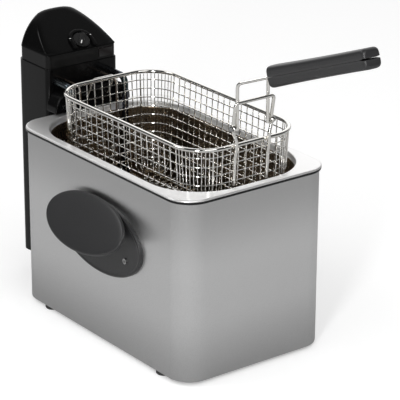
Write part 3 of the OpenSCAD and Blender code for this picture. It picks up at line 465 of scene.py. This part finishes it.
# Front of the column: the part of its outline before the rear cover, drawn up between soft edges.
# The tongue and its neck are blocks, each with a width, a depth and a distance before the column's front.
def makeColumn():
    h = head
    points, _ = headOutline(0)
    seam = h["rear"] - h["cover"]
    front = points[points[:, 1] < seam]
    half = h["width"] / 2
    outline = np.concatenate([front, [[half, seam - 0.15], [-half, seam - 0.15]]])
    block = skin(ringsOf((outline, outlineNormals(outline)), softEdges(h["low"], h["top"], 0.9)))
    addPiece("headColumn", block, finishes["blackGloss"], "head", ["head_front_shell"])
    blocks = []
    for width, depth, before in (h["tongue"], h["neck"]):
        points, normals = roundedRectangle(width, depth, 0.4, 3)
        placed = points + [0, h["front"] - before], normals
        blocks.append(skin(ringsOf(placed, softEdges(*h["tongueEnds"], 0.4))))
    addPiece("headTongue", blocks, finishes["blackMatte"], "head", ())


# Dome as rings from front to rear. From the middle of its foot, the distance at angle a is the lower of two:
# to an ellipse whose centre lies below the foot, and to the slope, which is its height divided by sin a.
def makeDome():
    h = head
    half, edge, tall = h["width"] / 2 - h["domeInset"], h["domeEdge"], h["domeRise"] + h["domeSink"]
    sunk = h["domeSink"] / tall
    wide = half / math.sqrt(1 - sunk**2)
    depth = domeRear - domeFront
    a = (np.pi * (0.5 - 0.5 * np.cos(np.linspace(0, np.pi, 161))))[None]
    s, c = np.maximum(np.sin(a), 1e-6), np.cos(a)
    squares = c**2 / wide**2 + s**2 / tall**2
    slant = s * sunk / tall
    arch = (np.sqrt(slant**2 + squares * (1 - sunk**2)) - slant) / squares
    turn = np.linspace(0, np.pi / 2, 6)
    front = np.stack([1.4 * (1 - np.cos(turn)), 1.4 * (1 - np.sin(turn))], 1)
    back = np.stack([depth - 6 * (1 - np.sin(turn)), 6 * (1 - np.cos(turn))], 1)
    between = np.linspace(2, depth - 7, 40)
    stations = np.concatenate([front, np.stack([between, 0 * between], 1), back])
    y, inset = stations[:, :1], stations[:, 1:]
    slope = (edge + y * math.tan(slopeAngle)) / s
    reach = softLower(arch, slope, h["fillet"] * np.minimum(1, 0.15 + y / 12)) - inset
    reach = np.maximum(reach, 0.2)
    rings = np.stack([reach * c, domeFront + y + 0 * reach, h["top"] + h["collar"] + reach * np.sin(a)], -1)
    addPiece("headDome", skin(rings), finishes["blackGloss"], "head", ["head_dome"], 50)


# Collar as a closed wall profile on the head's own outline.
def makeCollar():
    h = head
    low, high, wall = h["top"], h["top"] + h["collar"], h["wall"]
    profile = [[0, low], [0, high], [wall, high], [wall, low]]
    wall = skin(ringsOf(headOutline(h["collarInset"]), profile), loop=True)
    addPiece("headCollar", wall, finishes["blackGloss"], "head", ["head_collar"])


lens = {"x": 31.4, "up": 7.25, "width": 19, "height": 10.4, "depth": 1.2, "sunk": 0.4}


# Front of the lens: a thin block with soft edges, drawn in X and Z and laid on the collar.
def makeLens():
    outline = roundedRectangle(lens["width"], lens["height"], 1.2, 6)
    block = skin(ringsOf(outline, softEdges(0, lens["depth"], 0.5)))
    origin = [lens["x"], head["front"] + head["collarInset"] + lens["sunk"], head["top"] + lens["up"]]
    placed = laidOn(block, origin, [1, 0, 0], [0, 0, 1], [0, -1, 0])
    addPiece("indicatorWindow", placed, finishes["lensBlack"], "head", ["indicator_lens"])


shroud = {"width": 100, "depth": 20, "low": 207.3, "high": 230, "corner": 20, "soft": 1.8}


# Shroud over the rear flange, drawn in X and Z with round upper corners and carried towards the front.
def makeShroud():
    s = shroud
    tall = s["high"] - s["low"]
    outline = roundedRectangle(s["width"], tall, [s["corner"], s["corner"], 2, 2], 16)
    block = skin(ringsOf(outline, softEdges(0, s["depth"], s["soft"], 6)))
    origin = [0, head["front"], (s["low"] + s["high"]) / 2]
    placed = laidOn(block, origin, [1, 0, 0], [0, 0, 1], [0, -1, 0])
    addPiece("elementShroud", placed, finishes["blackGloss"], "head", ["element_shroud"])


knob = {"x": 6, "up": 11.5, "radius": 10, "turn": -39, "flutes": 18}


# Horseshoe round the knob: outer half circle and legs, back along the inner ones.
def makeBezel():
    k = knob
    outer, inner, foot = k["radius"] + 5, k["radius"] + 0.8, -k["up"] + 1.2
    a = np.linspace(0, np.pi, 40)[:, None]
    arch = np.concatenate([np.cos(a), np.sin(a)], 1)
    points = np.concatenate([[[outer, foot]], outer * arch, [[-outer, foot]],
                             [[-inner, foot]], inner * arch[::-1], [[inner, foot]]])
    block = skin(ringsOf((points, outlineNormals(points)), softEdges(-0.4, 3.2, 1)))
    origin = np.array(slopeOrigin) + k["x"] * np.array([1, 0, 0]) + k["up"] * np.array(slopeUp)
    addPiece("knobBezel", laidOn(block, origin, [1, 0, 0], slopeUp, slopeOut), finishes["blackGloss"], "head",
             ["knob_bezel"])
    tick = skin(ringsOf(roundedRectangle(0.7, 2, 0.3, 4), softEdges(3, 3.3, 0.1, 2)))
    ticks = [(tick[0] @ turned(t) + [r * math.cos(t), r * math.sin(t), 0], tick[1])
             for t, r in ((math.radians(d), 14) for d in (165, 15))]
    addPiece("bezelMarks", [laidOn(p, origin, [1, 0, 0], slopeUp, slopeOut) for p in ticks],
             finishes["pointerWhite"], "head", ())


# Matrix that turns points about Z, so that their Y runs out at the angle.
def turned(angle):
    s, c = math.sin(angle), math.cos(angle)
    return np.array([[s, -c, 0], [c, s, 0], [0, 0, 1]])


# Knob: a disc whose radius dips at each flute, with a soft rib across it and a white pointer.
def makeKnob():
    k = knob
    origin = np.array(slopeOrigin) + k["x"] * np.array([1, 0, 0]) + k["up"] * np.array(slopeUp)
    a = np.linspace(0, 2 * np.pi, 216, endpoint=False)
    reach = k["radius"] - 0.5 * np.maximum(np.cos(k["flutes"] * a), 0) ** 2
    points = np.stack([reach * np.cos(a), reach * np.sin(a)], 1)
    disc = skin(ringsOf((points, np.stack([np.cos(a), np.sin(a)], 1)), softEdges(0.5, 2.8, 0.9)))
    rib = skin(ringsOf(roundedRectangle(5.6, 2 * k["radius"] - 2, 2.4, 10), softEdges(2, 5, 1.2)))
    line = skin(ringsOf(roundedRectangle(1.2, 5, 0.55, 6), softEdges(4.6, 5.15, 0.15, 2)))
    line = line[0] + [0, -6, 0], line[1]
    turn = turned(math.radians(90 + k["turn"]))
    parts = [laidOn((p[0] @ turn, p[1]), origin, [1, 0, 0], slopeUp, slopeOut) for p in (disc, rib, line)]
    addPiece("thermostatKnob", parts[:2], finishes["blackMatte"], "knob", ["thermostat_knob"])
    addPiece("knobPointer", parts[2], finishes["pointerWhite"], "knob", ())


makeColumn()
makeDome()
makeCollar()
makeLens()
makeShroud()
makeBezel()
makeKnob()
print("control head made")

# ---- basket ----

basket = {"width": 139, "length": 255.4, "corner": 36, "depth": 113, "rim": 246, "y": -8.5, "taper": 6,
          "rods": 42, "rimWire": 2.15, "wire": 0.6, "pitch": 10, "bend": 12, "cornerWires": 11}
lean = math.atan(basket["taper"] / (basket["depth"] - basket["rimWire"]))
floorZ = basket["rim"] - basket["depth"]
wireTop = basket["rim"] - basket["rimWire"] - 0.2
layer = 2 * basket["wire"] + 0.1


# Half width of the basket's floor at places along it: straight, then the corner's circle.
def floorReach(half, other, along):
    r = basket["corner"] - basket["taper"]
    start = other - basket["taper"] - r
    past = np.clip(np.abs(along) - start, 0, r)
    return half - basket["taper"] - r + np.sqrt(r * r - past**2)


# Path of a wire down one wall, over the floor and up the other, in X and Z.
def wallWirePath(bottom, z):
    top = bottom + (wireTop - z) * math.tan(lean)
    corners = [[-top, 0, wireTop], [-bottom, 0, z], [bottom, 0, z], [top, 0, wireTop]]
    return roundedPath(corners, basket["bend"])


# Mesh wires across the basket, along it and down its corners.
def makeMesh():
    b = basket
    rows = int((b["length"] / 2 - b["corner"]) // b["pitch"])
    cross = []
    for y in (np.arange(-rows - 1, rows + 1) + 0.5) * b["pitch"]:
        path = wallWirePath(float(floorReach(b["width"] / 2, b["length"] / 2, y)), floorZ - layer / 2)
        cross.append(tube(path + [0, b["y"] + y, 0], b["wire"], [0, 1, 0], 8))
    addPiece("basketCrossWires", cross, finishes["wireChrome"], "basket", ["basket_cross_wires"])
    rows = int((b["width"] / 2 - b["taper"] - b["bend"]) // b["pitch"])
    along = []
    for x in (np.arange(-rows, rows) + 0.5) * b["pitch"]:
        path = wallWirePath(float(floorReach(b["length"] / 2, b["width"] / 2, x)), floorZ + layer / 2)
        along.append(tube(path[:, [1, 0, 2]] + [x, b["y"], 0], b["wire"], [1, 0, 0], 8))
    addPiece("basketLongWires", along, finishes["wireChrome"], "basket", ["basket_long_wires"])
    corners = []
    z, bottom = floorZ + layer * 1.5, b["corner"] - b["taper"]
    top = bottom + (wireTop - z) * math.tan(lean)
    side = roundedPath([[12, 0, z], [bottom, 0, z], [top, 0, wireTop]], b["bend"])
    halfWidth, halfLength = b["width"] / 2 - b["corner"], b["length"] / 2 - b["corner"]
    for sx in (1, -1):
        for sy in (1, -1):
            for a in np.radians(np.linspace(12, 78, b["cornerWires"])):
                out = np.array([sx * math.cos(a), sy * math.sin(a), 0])
                centre = [sx * halfWidth, b["y"] + sy * halfLength, 0]
                path = side[:, :1] * out + side[:, 2:] * [0, 0, 1] + centre
                corners.append(tube(path, b["wire"] * 0.85, np.cross(out, [0, 0, 1]), 8))
    addPiece("basketCornerWires", corners, finishes["wireChrome"], "basket", ["basket_corner_wires"])


# Level loops of wire: the mesh rings just inside the wall, and the thick rim on top.
def makeLoops():
    b = basket
    rings = []
    first = floorZ + b["bend"] + 2
    for z in np.arange(first, b["rim"] - b["rimWire"] - 4, b["pitch"]):
        inset = layer + (b["rim"] - b["rimWire"] - z) * math.tan(lean)
        points, _ = roundedRectangle(b["width"] - 2 * inset, b["length"] - 2 * inset, b["corner"] - inset, 14)
        path = np.concatenate([points + [0, b["y"]], np.full((len(points), 1), z)], 1)
        rings.append(tube(path, b["wire"], [0, 0, 1], 8, loop=True))
    addPiece("basketRings", rings, finishes["wireChrome"], "basket", ["basket_rings"])
    points, _ = roundedRectangle(b["width"], b["length"], b["corner"], 24)
    path = np.concatenate([points + [0, b["y"]], np.full((len(points), 1), b["rim"])], 1)
    rim = tube(path, b["rimWire"], [0, 0, 1], 20, loop=True)
    addPiece("basketRim", rim, finishes["wireChrome"], "basket", ["basket_rim"])


fold = {"wire": 1.8, "rodX": 21, "eyeX": 24.5, "armX": 19.6, "pivotUp": 20, "armUp": 46}
rimFront = basket["y"] - basket["length"] / 2
rodY = rimFront - basket["rimWire"] - fold["wire"] - 0.1
pivotY = rodY + 1.2
pivotZ = basket["rim"] + fold["pivotUp"]
barY = pivotY - 2 * fold["wire"] - 0.3
barZ = pivotZ + 27
gripY, gripZ = pivotY - 36, pivotZ + fold["armUp"] + 14
gripTilt = math.radians(21)


# Bracket: one bent rod up the basket's front, past both eyes and over in a bar, with an eye on each side.
def makeBracket():
    f = fold
    lowZ = basket["rim"] - basket["rods"]
    out = basket["wire"] + f["wire"] + 0.1
    lowY = rimFront + (basket["rim"] - lowZ) * math.tan(lean) - out
    x, e, rim = f["rodX"], f["eyeX"], basket["rim"]
    half = [[-x, lowY, lowZ], [-x, rimFront - out + 0.9, rim - 14], [-x, rodY, rim - 3], [-x, rodY, rim + 6],
            [-e, pivotY, pivotZ - 5], [-e, pivotY, pivotZ + 4], [-e, barY, barZ]]
    corners = np.concatenate([half, (np.array(half) * [-1, 1, 1])[::-1]])
    path = roundedPath(corners, [8, 5, 5, 5, 5, 4, 4, 5, 5, 5, 5, 8])
    rod = tube(path, f["wire"], [0, 1, 0], 20)
    a = np.linspace(0, 2 * np.pi, 32, endpoint=False)
    circle = np.stack([np.cos(a), np.sin(a)], 1)
    inner, outer = 1.86, 4
    ring = ringsOf((outer * circle, circle), [[0.5, -1.7], [0, -1.2], [0, 1.2], [0.5, 1.7],
                                              [outer - inner - 0.3, 1.7], [outer - inner, 1.4],
                                              [outer - inner, -1.4], [outer - inner - 0.3, -1.7]])
    eye = laidOn(skin(ring, loop=True), [e, pivotY, pivotZ], [0, 1, 0], [0, 0, 1], [1, 0, 0])
    addPiece("basketBracket", [rod, eye, mirrored(eye)], finishes["wireChrome"], "basket",
             ["basket_bracket"])


# Two bent arms from the pins, drawn together into the grip.
def makeYoke():
    f = fold
    s, c = math.sin(gripTilt), math.cos(gripTilt)
    corners = [[f["armX"], pivotY, pivotZ - 3], [f["armX"], pivotY, pivotZ + f["armUp"]],
               [5, gripY + 4 * c, gripZ - 4 * s], [5, gripY - 14 * c, gripZ + 14 * s]]
    arm = tube(roundedPath(corners, [7, 8]), f["wire"], [1, 0, 0], 20)
    addPiece("handleYoke", [arm, mirrored(arm)], finishes["wireChrome"], "basket_handle", ["handle_yoke"])


grip = {"length": 151, "height": 22.5, "width": 23, "seam": 0.15}


# Half of the grip: superellipse sections along it, which narrow at the butt and close on an arc at the tip.
def makeGripHalf(side):
    g = grip
    f = np.concatenate([[0, 0.001, 0.004, 0.009, 0.016], np.linspace(0.03, 0.94, 24),
                        np.linspace(0.95, 1, 18)])[:, None]
    tip = np.where(f > 0.97, np.sqrt(np.maximum(0, 1 - ((f - 0.97) / 0.033) ** 2)), 1)
    butt = np.where(f < 0.016, 0.93 + 0.07 * np.sqrt(np.maximum(0, 1 - (1 - f / 0.016) ** 2)), 1)
    seam = g["seam"] + 0.9 * np.clip((f - 0.94) / 0.04, 0, 1) ** 2
    w = g["width"] / 2 * (1 - 0.08 * f) * (0.55 + 0.45 * tip) * butt
    h = g["height"] / 2 * (1 - 0.3 * f + 0.215 * f**2) * (0.45 + 0.55 * tip) * butt
    a = np.linspace(0, np.pi, 41)[None]
    x = w * np.sign(np.cos(a)) * np.abs(np.cos(a)) ** 0.45
    up = side * (seam + np.maximum(h - seam, 0.1) * np.abs(np.sin(a)) ** 0.5)
    rings = np.stack([x, -g["length"] * f + 0 * x, up], -1)
    s, c = math.sin(gripTilt), math.cos(gripTilt)
    return laidOn(skin(rings), [0, gripY, gripZ], [1, 0, 0], [0, c, -s], [0, s, c])


# Wire loop on the head that the rim hangs at.
def makeHanger():
    y = basket["y"] + basket["length"] / 2 + basket["rimWire"] + fold["wire"] + 0.3
    wall, z, x = shroudFace + 6, shroud["high"] - 6, 14
    half = [[-x, wall, z], [-x, y + 12, z], [-x, y, basket["rim"]]]
    corners = np.concatenate([half, (np.array(half) * [-1, 1, 1])[::-1]])
    path = roundedPath(corners, [5, 4, 4, 5])
    addPiece("basketHanger", tube(path, fold["wire"], [0, 0, 1], 16), finishes["wireChrome"], "head",
             ["basket_hanger"])


shroudFace = head["front"] - shroud["depth"]
makeMesh()
makeLoops()
makeBracket()
makeYoke()
makeHanger()
for name, node, side in (("gripUpper", "grip_upper", 1), ("gripLower", "grip_lower", -1)):
    addPiece(name, makeGripHalf(side), finishes["handleGrey"], "basket_handle", [node], 60)
print("basket and handle made")

# ---- CAD nodes that stay, with their finishes ----

nodeFinishes = {
    "blackMatte": ["base_tray", "interlock_switch", "cord_gland"],
    "footRubber": ["feet"],
    "screwSteel": ["carry_handle_screws", "rail_rivets", "shroud_screws", "cover_screws", "handle_pins",
                   "knob_spindle", "head_rail", "element_clips"],
    "blackGloss": ["head_rear_cover"],
    "lampRed": ["indicator_lamps"],
    "partCream": ["thermostat_body", "thermal_cutout", "terminal_block", "interlock_plunger"],
    "bulbCopper": ["thermostat_bulb", "cutout_bulb"],
    "heaterSheath": ["heating_element"],
    "buttonRed": ["reset_button"],
}
for finish, names in nodeFinishes.items():
    for name in names:
        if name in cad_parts:
            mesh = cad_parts[name].data
            mesh.materials.clear()
            mesh.materials.append(finishes[finish])
print("CAD nodes finished")

# ---- floor, light and camera ----

studio = {"world": 0.6, "dark": 0.05, "bright": 1.25, "lobeStart": 0.55, "backdrop": (0.57, 0.72, 0.4),
          "floorLift": 0.33, "floorGlossy": 0.5, "keyPower": 18, "fillPower": 20, "edgePower": 20}


# Pale floor: diffuse and darker in reflections, with a little light of its own where the camera sees it.
def makeFloor():
    size = 12
    mesh = bpy.data.meshes.new("studioFloor")
    corners = [(-size, -size, 0), (size, -size, 0), (size, size, 0), (-size, size, 0)]
    mesh.from_pydata(corners, [], [(0, 1, 2, 3)])
    floor = bpy.data.objects.new("studioFloor", mesh)
    bpy.context.scene.collection.objects.link(floor)
    material = bpy.data.materials.new("paleFloor")
    material.use_nodes = True
    nodes, links = material.node_tree.nodes, material.node_tree.links
    nodes.remove(nodes["Principled BSDF"])
    path = nodes.new("ShaderNodeLightPath")
    diffuse, glow = nodes.new("ShaderNodeBsdfDiffuse"), nodes.new("ShaderNodeEmission")
    add = nodes.new("ShaderNodeAddShader")
    tone = nodes.new("ShaderNodeMix")
    tone.data_type = "RGBA"
    tone.inputs[6].default_value = (0.8, 0.8, 0.8, 1)
    tone.inputs[7].default_value = (*[studio["floorGlossy"]] * 3, 1)
    scaled = nodes.new("ShaderNodeMath")
    scaled.operation = "MULTIPLY"
    scaled.inputs[1].default_value = studio["floorLift"]
    links.new(path.outputs["Is Glossy Ray"], tone.inputs[0])
    links.new(tone.outputs[2], diffuse.inputs["Color"])
    links.new(path.outputs["Is Camera Ray"], scaled.inputs[0])
    links.new(scaled.outputs[0], glow.inputs["Strength"])
    links.new(diffuse.outputs[0], add.inputs[0])
    links.new(glow.outputs[0], add.inputs[1])
    links.new(add.outputs[0], nodes["Material Output"].inputs["Surface"])
    mesh.materials.append(material)


# World that is white to the camera. In reflections it is dark, but for a lobe round the backdrop's direction:
# the cosine to that direction, from where the lobe starts to 1.
def makeWorld():
    world = bpy.data.worlds.new("studioWorld")
    bpy.context.scene.world = world
    world.use_nodes = True
    nodes, links = world.node_tree.nodes, world.node_tree.links
    background = nodes["Background"]
    background.inputs["Color"].default_value = (1, 1, 1, 1)
    place, path = nodes.new("ShaderNodeTexCoord"), nodes.new("ShaderNodeLightPath")
    cosine = nodes.new("ShaderNodeVectorMath")
    cosine.operation = "DOT_PRODUCT"
    cosine.inputs[1].default_value = studio["backdrop"]
    lobe = nodes.new("ShaderNodeMapRange")
    lobe.interpolation_type = "SMOOTHSTEP"
    lobe.inputs["From Min"].default_value = studio["lobeStart"]
    lobe.inputs["To Min"].default_value = studio["dark"]
    lobe.inputs["To Max"].default_value = studio["bright"]
    glossy, seen = nodes.new("ShaderNodeMix"), nodes.new("ShaderNodeMix")
    glossy.inputs[2].default_value = studio["world"]
    seen.inputs[3].default_value = 1.0
    links.new(place.outputs["Generated"], cosine.inputs[0])
    links.new(cosine.outputs["Value"], lobe.inputs["Value"])
    links.new(path.outputs["Is Glossy Ray"], glossy.inputs[0])
    links.new(lobe.outputs["Result"], glossy.inputs[3])
    links.new(path.outputs["Is Camera Ray"], seen.inputs[0])
    links.new(glossy.outputs[0], seen.inputs[2])
    links.new(seen.outputs[0], background.inputs["Strength"])


# Soft rectangular lamp at a place, aimed at a point.
def addLamp(name, place, target, size, power):
    light = bpy.data.lights.new(name, "AREA")
    light.shape = "RECTANGLE"
    light.size, light.size_y, light.energy = *size, power
    lamp = bpy.data.objects.new(name, light)
    lamp.location = place
    aim = np.asarray(target, float) - place
    across = math.hypot(aim[0], aim[1])
    lamp.rotation_euler = (math.pi / 2 + math.atan2(aim[2], across), 0, math.atan2(-aim[0], aim[1]))
    bpy.context.scene.collection.objects.link(lamp)


makeFloor()
makeWorld()
addLamp("keyLamp", (-0.3, -2.0, 2.2), (0, 0, 0.15), (1.6, 1.6), studio["keyPower"])
addLamp("fillLamp", (-1.8, 1.5, 2.3), (0, 0, 0.15), (1.4, 1.4), studio["fillPower"])
addLamp("edgeLamp", (-1.6, -1.25, 0.95), (0, 0, 0.12), (0.28, 1.5), studio["edgePower"])

view = {"place": (-1.27471, -1.72641, 0.97416), "turn": (68.7702, -0.2576, -37.1949), "lens": 192.9}
camera = bpy.data.cameras.new("viewCamera")
camera.lens, camera.sensor_width, camera.clip_end = view["lens"], 36, 50
viewer = bpy.data.objects.new("viewCamera", camera)
viewer.location = (view["place"][0], view["place"][1] + casingMiddle, view["place"][2])
viewer.rotation_euler = [math.radians(v) for v in view["turn"]]
bpy.context.scene.collection.objects.link(viewer)
bpy.context.scene.camera = viewer
bpy.context.scene.view_settings.view_transform = "Standard"
